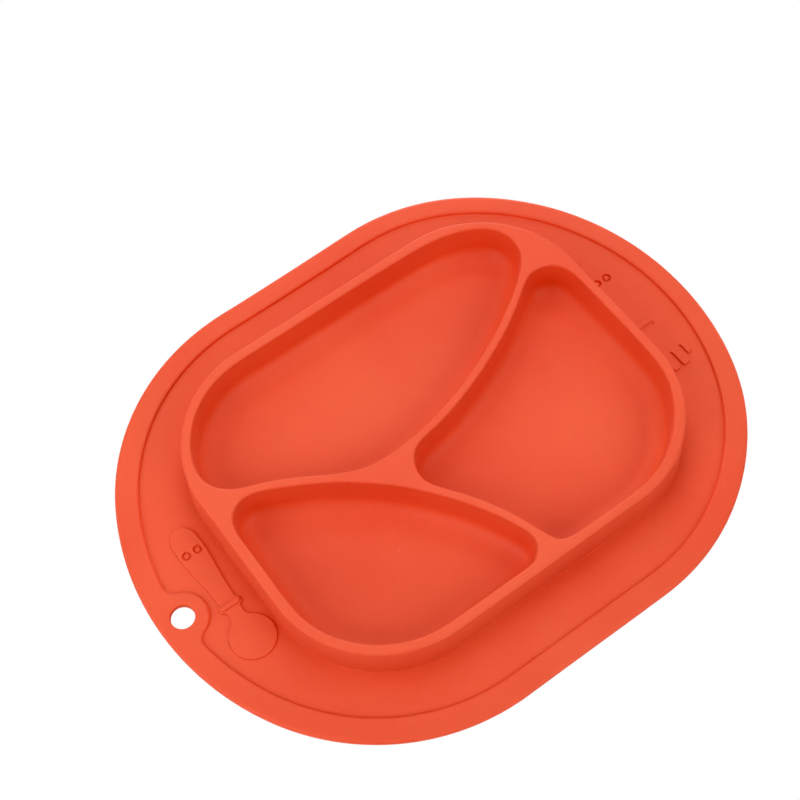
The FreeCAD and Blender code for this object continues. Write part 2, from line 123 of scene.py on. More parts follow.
# How far the soft mat's edge and border line lie inside their even ovals, in
# 10 degree sectors anticlockwise from -180
EDGE_INSET = [
    0.85, 0.90, 1.15, 1.30, 0.45, -0.30, -0.45, -0.10, 0.25, 0.70, 0.88, 0.58,
    0.34, 0.15, 0.05, 0.05, 0.05, 0.0, -0.05, -0.20, -0.20, -0.15, -0.20, -0.30,
    -0.18, -0.05, -0.15, -0.25, -0.30, -0.25, -0.05, 0.40, 0.35, -0.20, 0.15, 0.60]
LINE_INSET = [
    -0.50, -0.30, 0.0, 0.05, -0.80, -1.25, -1.05, -0.45, -0.20, 0.20, 0.25, 0.05,
    -0.05, -0.05, 0.0, 0.0, 0.0, 0.0, 0.0, 0.0, 0.10, 0.20, 0.10, 0.05,
    0.10, 0.15, 0.10, 0.0, -0.10, -0.23, -0.25, 0.0, -0.07, -0.63, -0.85, -0.60]

# Right halves of the cutlery, top to bottom: (x, y, corner radius) from each centre
HANDLE = [
    (3.25, 10.2, 0.7), (5.15, 10.2, 1.3), (5.15, 6.5, 1.3), (3.7, 6.5, 0.6), (4.2, -2.0, 60.0),
    (5.95, -19.0, 30.0), (5.6, -28.5, 9.0), (2.4, -32.6, 4.2)]
FORK_HEAD = [
    (0.65, 25.9, 0.62), (0.65, 34.2, 1.0), (4.65, 34.5, 1.6), (4.7, 25.5, 0.6),
    (6.0, 25.5, 0.6), (6.0, 31.6, 1.0), (9.2, 30.0, 2.6), (9.35, 19.8, 7.0),
    (4.2, 16.2, 3.2), (3.25, 14.0, 3.0)]
SPOON_BOWL_Y, SPOON_BOWL_R, SPOON_BOWL_END = 24.8, 9.7, math.radians(-48)
SPOON_NECK = (3.25, 14.67, 2.6)

# Ring-shaped dimple in a handle: (radius, depth)
DIMPLE = [
    (2.3, 0), (2.12, 0), (2.0, 0.05), (1.93, 0.18), (1.88, 0.75), (1.8, 0.9), (1.6, 0.92),
    (1.4, 0.88), (1.22, 0.66), (1.08, 0.36), (0.9, 0.2), (0.6, 0.13), (0.3, 0.1), (0, 0.1)]

# Suction cup from under its centre out to the lip and up to the snap head:
# (radius, height above the table)
NECK_R, HEAD_R = 3.05, 4.4
HEAD_BOTTOM, HEAD_TOP = 5.2, 6.2
CUP_PROFILE = [
    # shallow hollow with two faint ridges
    (0.0, 1.32), (1.0, 1.32), (2.5, 1.32), (4.0, 1.30), (6.0, 1.24), (8.0, 1.12),
    (9.5, 0.98), (10.6, 0.84), (11.0, 0.72), (11.3, 0.66), (11.7, 0.70), (12.6, 0.62),
    (13.6, 0.48), (14.6, 0.33), (14.9, 0.20), (15.2, 0.15), (15.6, 0.18), (16.2, 0.08),
    (16.8, 0.02), (17.3, 0.0),
    # thin lip
    (18.6, 0.0), (18.86, 0.03), (18.97, 0.12), (19.0, 0.25), (18.98, 0.42), (18.86, 0.56),
    (18.6, 0.66),
    # upper side
    (18.0, 0.76), (17.0, 0.93), (15.5, 1.22), (13.5, 1.66), (11.5, 2.1), (9.5, 2.45),
    (8.0, 2.63), (7.0, 2.72), (6.3, 2.75), (5.0, 2.75), (3.6, 2.75), (3.25, 2.75),
    # neck
    (3.12, 2.79), (NECK_R, 2.9), (NECK_R, 3.2), (NECK_R, 4.9), (NECK_R, HEAD_BOTTOM - 0.05),
    # snap head
    (3.1, HEAD_BOTTOM), (3.3, HEAD_BOTTOM), (4.1, HEAD_BOTTOM), (4.32, HEAD_BOTTOM + 0.04),
    (HEAD_R, HEAD_BOTTOM + 0.16), (HEAD_R, HEAD_BOTTOM + 0.4), (4.3, HEAD_BOTTOM + 0.58),
    (3.8, HEAD_TOP - 0.12), (3.5, HEAD_TOP), (3.0, HEAD_TOP), (1.2, HEAD_TOP), (0.0, HEAD_TOP)]


# --------------------------------------------------------------- plan outlines
def anticlockwise(points):
    x, y = points[:, 0], points[:, 1]
    area = np.sum(x * np.roll(y, -1) - np.roll(x, -1) * y)
    return points if area > 0 else points[::-1].copy()


def even(points, count=None, step=None):
    """Closed outline resampled evenly along its length, by count or by step."""
    closed = np.vstack([points, points[:1]])
    length = np.r_[0, np.cumsum(np.hypot(*np.diff(closed, axis=0).T))]
    if count is None:
        count = int(round(length[-1] / step))
    at = np.linspace(0, length[-1], count, endpoint=False)
    return np.c_[np.interp(at, length, closed[:, 0]), np.interp(at, length, closed[:, 1])]


def arc(x, y, radius, start, end, count):
    angle = np.linspace(start, end, count)
    return np.c_[x + radius * np.cos(angle), y + radius * np.sin(angle)]


def circle(x, y, radius, count):
    angle = np.linspace(0, 2 * PI, count, endpoint=False)
    return np.c_[x + radius * np.cos(angle), y + radius * np.sin(angle)]


def mat_oval(inside_by=0.0):
    """The mat's oval, or one parallel to it and further in."""
    half_x, half_y = MAT_HALF_X - inside_by, MAT_HALF_Y - inside_by
    end_r, side_r = MAT_END_R - inside_by, MAT_SIDE_R - inside_by
    end_x = half_x - end_r
    side_y = half_y - side_r
    side_x = end_x + math.sqrt((end_r - side_r) ** 2 - side_y ** 2)
    meet = math.atan2(side_y, side_x - end_x)      # angle where end and side arcs meet
    return np.vstack([
        arc(end_x, 0, end_r, -meet, meet, 400),
        arc(side_x, side_y, side_r, meet, PI / 2, 400),
        arc(-side_x, side_y, side_r, PI / 2, PI - meet, 400),
        arc(-end_x, 0, end_r, PI - meet, PI + meet, 400),
        arc(-side_x, -side_y, side_r, PI + meet, 1.5 * PI, 400),
        arc(side_x, -side_y, side_r, 1.5 * PI, 2 * PI - meet, 400)])


def rounded_rectangle(x, y, half_x, half_y, radius):
    dx, dy = half_x - radius, half_y - radius
    corners = [(dx, dy), (-dx, dy), (-dx, -dy), (dx, -dy)]
    return np.vstack([arc(x + cx, y + cy, radius, i * PI / 2, (i + 1) * PI / 2, 240)
                      for i, (cx, cy) in enumerate(corners)])


def short_arc(x, y, radius, start, end, count):
    """Arc from start the short way round to the direction of end."""
    turn = (end - start + PI) % (2 * PI) - PI
    return arc(x, y, radius, start, start + turn, count)


def rounded(corners):
    """Closed polygon of (x, y, radius) corners, each corner a tangent arc."""
    pieces = []
    count = len(corners)
    for i in range(count):
        before, corner, after = (np.array(corners[(i + k) % count][:2], float)
                                 for k in (-1, 0, 1))
        radius = corners[i][2]
        back, ahead = before - corner, after - corner
        back_len, ahead_len = np.linalg.norm(back), np.linalg.norm(ahead)
        back, ahead = back / back_len, ahead / ahead_len
        half = math.acos(float(np.clip(back @ ahead, -1, 1))) / 2
        if radius <= 0 or abs(half - PI / 2) < 1e-3:
            pieces.append(corner[None])
            continue
        # the tangent points stay within half of each side
        tangent = min(radius / math.tan(half), 0.499 * back_len, 0.499 * ahead_len)
        radius = tangent * math.tan(half)
        middle = (back + ahead) / np.linalg.norm(back + ahead)
        centre = corner + middle * (radius / math.sin(half))
        start = math.atan2(*(corner + back * tangent - centre)[::-1])
        end = math.atan2(*(corner + ahead * tangent - centre)[::-1])
        pieces.append(short_arc(*centre, radius, start, end, 24))
    return anticlockwise(np.vstack(pieces))


def spline(poles, count):
    """Uniform periodic cubic B-spline, sampled evenly and running anticlockwise."""
    poles = np.array(poles, float)
    place = np.linspace(0, len(poles), 6000, endpoint=False)
    span = place.astype(int)
    t = (place - span)[:, None]
    pole = [poles[(span + k - 1) % len(poles)] for k in range(4)]
    curve = ((1 - t) ** 3 * pole[0] + (3 * t ** 3 - 6 * t * t + 4) * pole[1]
             + (-3 * t ** 3 + 3 * t * t + 3 * t + 1) * pole[2] + t ** 3 * pole[3]) / 6
    return even(anticlockwise(curve), count)


def normals(points):
    """Unit inward normals of an anticlockwise outline, and its curvature."""
    first = (np.roll(points, -1, 0) - np.roll(points, 1, 0)) / 2
    second = np.roll(points, -1, 0) - 2 * points + np.roll(points, 1, 0)
    size = np.maximum(np.hypot(first[:, 0], first[:, 1]), 1e-9)
    curvature = (first[:, 0] * second[:, 1] - first[:, 1] * second[:, 0]) / size ** 3
    return np.c_[-first[:, 1] / size, first[:, 0] / size], curvature


def relax(values, times):
    """Smooths a closed run of values or points."""
    for _ in range(times):
        values = 0.25 * np.roll(values, 1, 0) + 0.5 * values + 0.25 * np.roll(values, -1, 0)
    return values


def inset(points, depth):
    """Outline moved inward by a depth (a number or one value per point)."""
    return points + normals(points)[0] * np.reshape(depth, (-1, 1))


def reach(points):
    """How far each point can move along its inward normal before it meets the
    middle line of the shape."""
    normal, curvature = normals(points)
    limit = 1.0 / np.maximum(curvature, 1e-6)
    count = len(points)
    index = np.arange(count)
    for i in range(count):
        offset = points - points[i]
        gap = np.abs((index - i + count // 2) % count - count // 2)
        height = offset @ normal[i]
        facing = (height > 1e-6) & (gap > 3)
        if facing.any():
            radii = (offset[facing] ** 2).sum(1) / (2 * height[facing])
            limit[i] = min(limit[i], float(radii.min()))
    return limit


def shrink(points, depths):
    """Outlines at several insets. Corners that run out of radius are cut across
    and eased round, so an outline never folds over itself."""
    limit = reach(points)
    count = len(points)
    index = np.arange(count)
    outlines = []
    for depth in depths:
        moved = inset(points, depth)
        bad = limit < depth + min(1.2, 0.4 * max(depth, 0.0))
        if depth > 0 and bad.any() and not bad.all():
            good = index[~bad]
            good_round = np.r_[good - count, good, good + count]
            for axis in (0, 1):
                moved[bad, axis] = np.interp(index[bad], good_round,
                                             np.tile(moved[good, axis], 3))
            # the easing fades out on both sides of the cut
            weight = bad.astype(float)
            for _ in range(7):
                beside = np.maximum(np.roll(weight, 1), np.roll(weight, -1))
                weight = np.maximum(weight, 0.86 * beside)
            for _ in range(60):
                moved = moved + (relax(moved, 1) - moved) * weight[:, None]
        outlines.append(moved)
    return outlines


def settle(points, sector_insets):
    """Outline moved in by a table of 10 degree sectors, smoothly blended."""
    angle = np.degrees(np.arctan2(points[:, 1], points[:, 0]))
    sector_middles = np.arange(-535, 545, 10.0)    # three turns, so that the ends meet
    depth = np.interp(angle, sector_middles, np.tile(np.array(sector_insets, float), 3))
    return inset(points, relax(depth, 400))


def inside(outline, points):
    """Even-odd test of many points against one closed outline."""
    result = np.zeros(len(points), bool)
    x0, y0 = outline[:, 0], outline[:, 1]
    x1, y1 = np.roll(x0, -1), np.roll(y0, -1)
    for k in range(0, len(points), 4000):
        x = points[k:k + 4000, 0][:, None]
        y = points[k:k + 4000, 1][:, None]
        spans = (y0[None] > y) != (y1[None] > y)
        with np.errstate(divide="ignore", invalid="ignore"):
            crossing = (x1 - x0)[None] * (y - y0[None]) / (y1 - y0)[None] + x0[None]
        result[k:k + 4000] = (np.sum(spans & (x < crossing), axis=1) % 2) == 1
    return result


def near(outline, points, distance):
    """True where a point is closer than distance to the outline's points."""
    result = np.zeros(len(points), bool)
    for k in range(0, len(points), 2000):
        offset = points[k:k + 2000, None, :] - outline[None, :, :]
        result[k:k + 2000] = (offset ** 2).sum(2).min(1) < distance * distance
    return result


def quarter(d0, z0, d1, z1, steps, flat_first=True):
    """(inset, z) rows of a quarter ellipse, flat at its start or at its end."""
    rows = []
    for t in np.linspace(0, 1, steps + 1):
        sin, cos = math.sin(t * PI / 2), math.cos(t * PI / 2)
        if flat_first:
            rows.append((d0 + (d1 - d0) * sin, z1 + (z0 - z1) * cos))
        else:
            rows.append((d0 + (d1 - d0) * (1 - cos), z0 + (z1 - z0) * sin))
    return rows


# ---------------------------------------------------------------- mesh builder
class Builder:
    """Gathers rings of vertices and the faces between them. A ring is an array of
    vertex indices; a ring of one vertex is the tip of a fan."""

    def __init__(self):
        self.blocks, self.faces, self.count = [], [], 0

    def ring(self, outline, z):
        self.blocks.append(np.c_[outline, np.full(len(outline), float(z))])
        start = self.count
        self.count += len(outline)
        return np.arange(start, self.count)

    def fan(self, ring, tip, flip):
        faces = np.c_[ring, np.roll(ring, -1), np.full(len(ring), tip)]
        if flip:
            faces = faces[:, [1, 0, 2]]
        self.faces += faces.tolist()

    def strip(self, ring, following, flip):
        """Faces between two rings: up when the first is outside, unless flipped."""
        if len(ring) == 1:
            self.fan(following, ring, not flip)
        elif len(following) == 1:
            self.fan(ring, following, flip)
        else:
            faces = np.c_[ring, np.roll(ring, -1), np.roll(following, -1), following]
            self.faces += (faces[:, ::-1] if flip else faces).tolist()

    def stack(self, outlines, rows, flip=False):
        """Skin through outlines at the heights of (size, z) rows. Returns the rings."""
        rings = [self.ring(outline, z) for outline, (_, z) in zip(outlines, rows)]
        for ring, following in zip(rings, rings[1:]):
            self.strip(ring, following, flip)
        return rings

    def wall(self, base, rows, flip=False):
        """Skin through plain insets of an outline, from (inset, z) rows."""
        return self.stack([inset(base, depth) for depth, _ in rows], rows, flip)

    def sink(self, base, rows):
        """As wall, but deep insets are kept from folding over themselves."""
        return self.stack(shrink(base, [depth for depth, _ in rows]), rows)

    def turned(self, centre, rows, sides, flip=False):
        """Surface of revolution from (radius, z) rows; radius 0 is a single point."""
        outlines = [circle(*centre, radius, sides) if radius else np.array([centre])
                    for radius, _ in rows]
        return self.stack(outlines, rows, flip)

    def region(self, outer, holes, step, z, up=True):
        """Fills the flat area between rings with even triangles."""
        vertices = np.vstack(self.blocks)
        borders = [vertices[ring][:, :2] for ring in [outer] + holes]
        outline = borders[0]
        lo, hi = outline.min(0), outline.max(0)
        columns = np.arange(lo[0], hi[0], step)
        lines = np.arange(lo[1], hi[1], step * 0.866)
        grid = np.array([(x + (0.5 * step if j % 2 else 0.0), y)
                         for j, y in enumerate(lines) for x in columns])
        grid = grid[inside(outline, grid)]
        for hole in borders[1:]:
            grid = grid[~inside(hole, grid)]
        for border in borders:
            grid = grid[~near(border, grid, 0.62 * step)]

        edges = []
        start = 0
        for border in borders:
            size = len(border)
            edges += [(start + i, start + (i + 1) % size) for i in range(size)]
            start += size
        flat = [Vector(point) for point in np.vstack(borders + [grid])]
        found, _, triangles, sources, _, _ = geometry.delaunay_2d_cdt(flat, edges, [], 0, 1e-7)
        found = np.array([tuple(point) for point in found])
        first = [source[0] for source in sources]
        index = np.concatenate([outer] + holes + [self.ring(grid, z)])[first]

        triangles = np.array([t for t in triangles if len(t) == 3])
        corner = found[triangles]
        area = ((corner[:, 1, 0] - corner[:, 0, 0]) * (corner[:, 2, 1] - corner[:, 0, 1])
                - (corner[:, 2, 0] - corner[:, 0, 0]) * (corner[:, 1, 1] - corner[:, 0, 1]))
        middle = corner.mean(1)
        keep = inside(outline, middle) & (np.abs(area) > 0.02)
        for hole in borders[1:]:
            keep &= ~inside(hole, middle)

        # the plain inside test seeds a fill that stops at the outlines
        barrier = {(min(edge), max(edge)) for edge in edges}
        beside = {}
        for i, (a, b, c) in enumerate(triangles.tolist()):
            for m, n in ((a, b), (b, c), (c, a)):
                m, n = first[m], first[n]
                beside.setdefault((min(m, n), max(m, n)), []).append(i)
        links = [[] for _ in triangles]
        for edge, pair in beside.items():
            if edge not in barrier and len(pair) == 2:
                links[pair[0]].append(pair[1])
                links[pair[1]].append(pair[0])
        waiting = np.nonzero(keep)[0].tolist()
        while waiting:
            for j in links[waiting.pop()]:
                if not keep[j]:
                    keep[j] = True
                    waiting.append(j)
        triangles, area = triangles[keep], area[keep]
        triangles = np.where((area > 0)[:, None], triangles, triangles[:, ::-1])
        if not up:
            triangles = triangles[:, ::-1]
        self.faces += index[triangles].tolist()

    def make(self, name, warp=None):
        """Smooth-shaded object from everything gathered so far."""
        vertices = np.vstack(self.blocks)
        if warp is not None:
            vertices = warp(vertices)
        mesh = bpy.data.meshes.new(name)
        mesh.from_pydata((vertices * METRES_PER_MM).tolist(), [], self.faces)
        mesh.validate()
        mesh.polygons.foreach_set("use_smooth", [True] * len(mesh.polygons))
        mesh.update()
        obj = bpy.data.objects.new(name, mesh)
        bpy.context.scene.collection.objects.link(obj)
        return obj


# ------------------------------------------------------------- embossed cutlery
def mirrored(half):
    """Outline from its right half, top to bottom; points on the axis aren't doubled."""
    return rounded(half + [(-x, y, radius) for x, y, radius in half[::-1] if x > 1e-6])


def spoon_outline():
    bowl = arc(0, SPOON_BOWL_Y, SPOON_BOWL_R, PI / 2, SPOON_BOWL_END, 60)
    return mirrored([(x, y, 0) for x, y in bowl] + [SPOON_NECK] + HANDLE)


def fork_outline():
    return mirrored(FORK_HEAD + HANDLE)


def emboss(builder, outline, centre):
    """Raised soft-edged shape on the mat. Returns its base ring for the mat fill."""
    base = relax(even(outline + np.array(centre), step=0.32), 2)
    top = MAT_T + EMBOSS_H
    rings = builder.wall(base, [
        (-0.32, MAT_T), (-0.14, MAT_T), (-0.06, MAT_T + 0.015), (-0.02, MAT_T + 0.06),
        (0.0, MAT_T + 0.16),
        *quarter(EMBOSS_LEAN, top - EMBOSS_EDGE_R, EMBOSS_LEAN + EMBOSS_EDGE_R, top, 5,
                 flat_first=False),
        (0.52, top)])

    # two ring-shaped dimples near the end of the handle
    holes = []
    dimple = [(radius, top - depth) for radius, depth in DIMPLE]
    for dx in (-DIMPLE_X, DIMPLE_X):
        place = (centre[0] + dx, centre[1] + DIMPLE_Y)
        holes.append(builder.turned(place, dimple, DIMPLE_SIDES)[0])

    # collar: a bar across the neck, a little higher than the rest
    collar = even(rounded_rectangle(centre[0], centre[1] + COLLAR_Y, COLLAR_HALF_X,
                                    COLLAR_HALF_Y, COLLAR_CORNER_R), COLLAR_POINTS)
    collar_top = MAT_T + COLLAR_H
    bar = builder.sink(collar, [
        (0.0, top), (0.04, top), (0.07, top + 0.03), (0.11, top + 0.12),
        (0.18, collar_top - 0.19), (0.3, collar_top - 0.1), (0.5, collar_top - 0.03),
        (0.8, collar_top)])
    builder.region(bar[-1], [], 0.9, collar_top)
    holes.append(bar[0])
    builder.region(rings[-1], holes, 1.6, top)
    return rings[0]


# ------------------------------------------------------------------- the plate
# Each part returns the rings where the flat areas next to it begin.

def compartment(builder, poles):
    """Rounded rim, drafted wall, floor fillet and floor. Returns the rim ring."""
    rim_z = TRAY_H - RIM_R
    fillet_z = FLOOR_Z + FLOOR_R
    run = FLOOR_R + FLOOR_EASE
    rows = [(-RIM_R - 0.35, TRAY_H), *quarter(-RIM_R, TRAY_H, 0.0, rim_z, 6)]
    rows.append((0.08 * WALL_DRAFT, rim_z - 0.4))
    rows += [(WALL_DRAFT * t, rim_z + (fillet_z - rim_z) * t) for t in (0.35, 0.7)]
    for t in np.linspace(0, 1, 17):
        angle = t * PI / 2
        # arc whose lower end is drawn out, so that the shading fades into the floor
        across = run * ((1 - math.cos(angle)) * (1 - 0.45 * t) + 0.45 * t * t * t)
        rows.append((WALL_DRAFT + across, fillet_z - FLOOR_R * math.sin(angle)))
    rows.append((WALL_DRAFT + run + 0.8, FLOOR_Z))
    rings = builder.sink(spline(poles, COMPARTMENT_POINTS), rows)
    builder.region(rings[-1], [], 4.0, FLOOR_Z)
    return rings[0]


def tray_side(builder):
    """Outside of the tray. Returns its rim ring and its ring on the mat."""
    outline = even(rounded_rectangle(*TRAY_CENTRE, TRAY_HALF_X, TRAY_HALF_Y, TRAY_CORNER_R),
                   TRAY_POINTS)
    # the base draws in where the fork's head comes up to the left wall
    close = np.exp(-((outline[:, 1] - 24.0) / 9.0) ** 4) * (outline[:, 0] < -60)

    def lean(z):
        return -TRAY_DRAFT * (1 - z / TRAY_H) * (1 - close)

    edge_z = TRAY_H - TRAY_TOP_R
    base_z = MAT_T + TRAY_BASE_R
    foot = lean(MAT_T)
    toe = foot - TRAY_BASE_R * (1 - 0.5 * close)
    rows = [(TRAY_TOP_R + 0.35, TRAY_H), *quarter(TRAY_TOP_R, TRAY_H, 0.0, edge_z, 6)[:-1]]
    rows += [(lean(z), z) for z in (edge_z, edge_z - 0.4, 12.0, 7.0, base_z + 0.4, base_z)]
    rows += quarter(foot, base_z, toe, MAT_T, 8, flat_first=False)[1:]
    rows.append((toe - 0.35 * (1 - 0.6 * close), MAT_T))
    rings = builder.wall(outline, rows, flip=True)
    return rings[0], rings[-1]


def border_line(step):
    """Inner edge of the border: an oval that swerves inward round the hanging hole."""
    end_x = MAT_HALF_X - MAT_END_R
    hole_x, hole_y = HOLE
    # centres of the blends: circles touching the oval's end arc and the lug
    from_end = MAT_END_R - BORDER_W - LUG_BLEND_R
    from_hole = LUG_R + LUG_BLEND_R
    apart = math.hypot(hole_x - end_x, hole_y)
    along = (from_end * from_end - from_hole * from_hole + apart * apart) / (2 * apart)
    off = math.sqrt(from_end * from_end - along * along)
    ux, uy = (hole_x - end_x) / apart, hole_y / apart
    blends = []
    for side in (1, -1):
        x = end_x + ux * along - uy * off * side
        y = uy * along + ux * off * side
        blends.append((x, y, math.atan2(y, x - end_x), math.atan2(y - hole_y, x - hole_x)))
    # each blend: centre, its direction from the end arc's centre and from the hole
    (back_x, back_y, back_end, back_lug), (front_x, front_y, front_end, front_lug) = blends

    oval = even(mat_oval(BORDER_W), step=0.05)
    angle = np.arctan2(oval[:, 1], oval[:, 0] - end_x)
    rest = oval[~((angle < back_end) & (angle > front_end))]
    last = int(np.argmax(np.hypot(*(np.roll(rest, -1, 0) - rest).T)))
    rest = np.roll(rest, -(last + 1), 0)           # starts just after the gap
    return even(np.vstack([
        rest,
        short_arc(front_x, front_y, LUG_BLEND_R, front_end, front_lug + PI, 60),
        arc(hole_x, hole_y, LUG_R, front_lug % (2 * PI), back_lug % (2 * PI), 200),
        short_arc(back_x, back_y, LUG_BLEND_R, back_lug + PI, back_end, 60)]), step=step)


def border_step(builder):
    """Step from the mat up to the border. Returns its lower and upper rings."""
    line = settle(border_line(0.9), LINE_INSET)
    angle = np.degrees(np.arctan2(line[:, 1], line[:, 0]))
    soften = (1 / (1 + np.exp(-(angle - SOFT_FROM) / SOFT_FADE))
              * 1 / (1 + np.exp((angle - SOFT_TO) / SOFT_FADE)))
    foot = STEP_FOOT_W + SOFT_FOOT_W * soften
    crest = STEP_CREST_W + SOFT_CREST_W * soften
    rings = builder.wall(line, [
        (foot + 0.5, MAT_T),
        *quarter(foot, MAT_T, 0.0, MAT_T + STEP_FOOT_H, 8),
        *quarter(-STEP_LEAN, BORDER_T - STEP_CREST_H, -STEP_LEAN - crest, BORDER_T, 8,
                 flat_first=False),
        (-crest - 0.4, BORDER_T)], flip=True)
    return rings[0], rings[-1]


def mat_edge(builder):
    """Rounded outer edge of the mat. Returns its top and bottom rings."""
    outline = settle(even(mat_oval(), MAT_POINTS), EDGE_INSET)
    top_w = MAT_TOP_SPREAD * MAT_TOP_R
    rings = builder.wall(outline, [
        (top_w + 0.4, BORDER_T),
        *quarter(top_w, BORDER_T, 0.0, BORDER_T - MAT_TOP_R, 10),
        *quarter(0.0, MAT_BOTTOM_R, MAT_BOTTOM_R, 0.0, 5, flat_first=False),
        (MAT_BOTTOM_R + 0.4, 0.0)], flip=True)
    return rings[0], rings[-1]


def hanging_hole(builder):
    """Returns the hole's top and bottom rings."""
    rings = builder.wall(circle(*HOLE, HOLE_R, HOLE_SIDES), [
        (-0.9, BORDER_T),
        *quarter(-HOLE_EDGE_R, BORDER_T, 0.0, BORDER_T - HOLE_EDGE_R, 5),
        (0.0, 1.2), (0.0, 0.4), (-0.12, 0.12), (-0.4, 0.0), (-0.7, 0.0)])
    return rings[0], rings[-1]


def socket_boss(builder, centre):
    """Round boss on the underside with a lipped chamber. Returns its root ring."""
    bottom = -BOSS_DROP
    lip = bottom + MOUTH_LIP_T
    roof = lip + CHAMBER_H
    return builder.turned(centre, [
        (BOSS_R + 1.5, 0.0), (BOSS_R + 1.1, 0.0), (BOSS_R + 0.75, -0.08),
        (BOSS_R + 0.5, -0.28), (BOSS_R + 0.36, -0.6), (BOSS_R + 0.15, bottom + 0.5),
        (BOSS_R - 0.02, bottom + 0.14), (BOSS_R - 0.4, bottom), (BOSS_R - 0.8, bottom),
        (MOUTH_R + 0.6, bottom), (MOUTH_R + 0.25, bottom), (MOUTH_R + 0.06, bottom + 0.06),
        (MOUTH_R, bottom + 0.22), (MOUTH_R, lip - 0.05), (MOUTH_R, lip),
        (CHAMBER_R, lip), (CHAMBER_R, lip + 0.05), (CHAMBER_R, roof - 0.05),
        (CHAMBER_R, roof), (CHAMBER_R - 0.1, roof), (1.2, roof), (0, roof)],
        BOSS_SIDES, flip=True)[0]


def soft(vertices):
    """Slight waviness of a soft moulding; the underside stays flat. Also lifts
    the plate onto its cups."""
    x, y, z = vertices.T
    wave = (0.10 * np.sin(x / 31.0 + 0.7) * np.cos(y / 27.0 + 0.4)
            + 0.06 * np.sin(x / 17.0 - y / 23.0 + 1.1)
            + 0.04 * np.cos(x / 11.0 + y / 14.0))
    share = np.clip((z - 0.2) / 0.9, 0, 1)
    moved = vertices.copy()
    moved[:, 2] += share * (np.minimum(wave, 0.0) - 0.02) + PLATE_Z
    return moved


def build_plate():
    builder = Builder()
    rims = [compartment(builder, poles) for poles in (FRONT, BACK_LEFT, BACK_RIGHT)]
    tray_rim, tray_base = tray_side(builder)
    builder.region(tray_rim, rims, 2.2, TRAY_H)

    spoon = emboss(builder, spoon_outline(), SPOON_AT)
    fork = emboss(builder, fork_outline(), FORK_AT)
    step_bottom, step_top = border_step(builder)
    builder.region(step_bottom, [tray_base, spoon, fork], 3.6, MAT_T)

    edge_top, edge_bottom = mat_edge(builder)
    hole_top, hole_bottom = hanging_hole(builder)
    builder.region(edge_top, [step_top, hole_top], 3.2, BORDER_T)

    bosses = [socket_boss(builder, centre) for centre in CUPS.values()]
    builder.region(edge_bottom, bosses + [hole_bottom], 4.5, 0.0, up=False)
    return builder.make("plate_moulding", soft)


def build_cup(name, centre):
    """One soft suction cup, flattened on the table."""
    builder = Builder()
    builder.turned(centre, CUP_PROFILE, CUP_SIDES)
    return builder.make(name + "_soft")


plate = build_plate()
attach(plate, "plate")
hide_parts("plate_body")

cups = []
for node, centre in CUPS.items():
    cup = build_cup(node, centre)
    body = "cup_" + node[len("suction_cup_"):]
    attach(cup, body)
    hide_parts(node)
    cups.append(cup)


# ------------------------------------------------------------------- materials
MIX_FACTOR, MIX_A, MIX_B, MIX_RESULT = 0, 6, 7, 2      # colour sockets of a Mix node
WHITE = (1, 1, 1, 1)
ORANGE = (0.748, 0.131, 0.0657)
DUST = (0.95, 0.42, 0.30)


def add_node(tree, kind, inputs, **settings):
    """New shader node; an input is another node's output or a plain value."""
    node = tree.nodes.new(kind)
    for setting, value in settings.items():
        setattr(node, setting, value)
    for socket, value in inputs.items():
        if isinstance(value, bpy.types.NodeSocket):
            tree.links.new(value, node.inputs[socket])
        else:
            node.inputs[socket].default_value = value
    return node


def empty_material(name):
    material = bpy.data.materials.new(name)
    material.use_nodes = True
    material.node_tree.nodes.clear()
    return material, material.node_tree


def scaled(color, factors):
    return tuple(c * k for c, k in zip(color, factors))


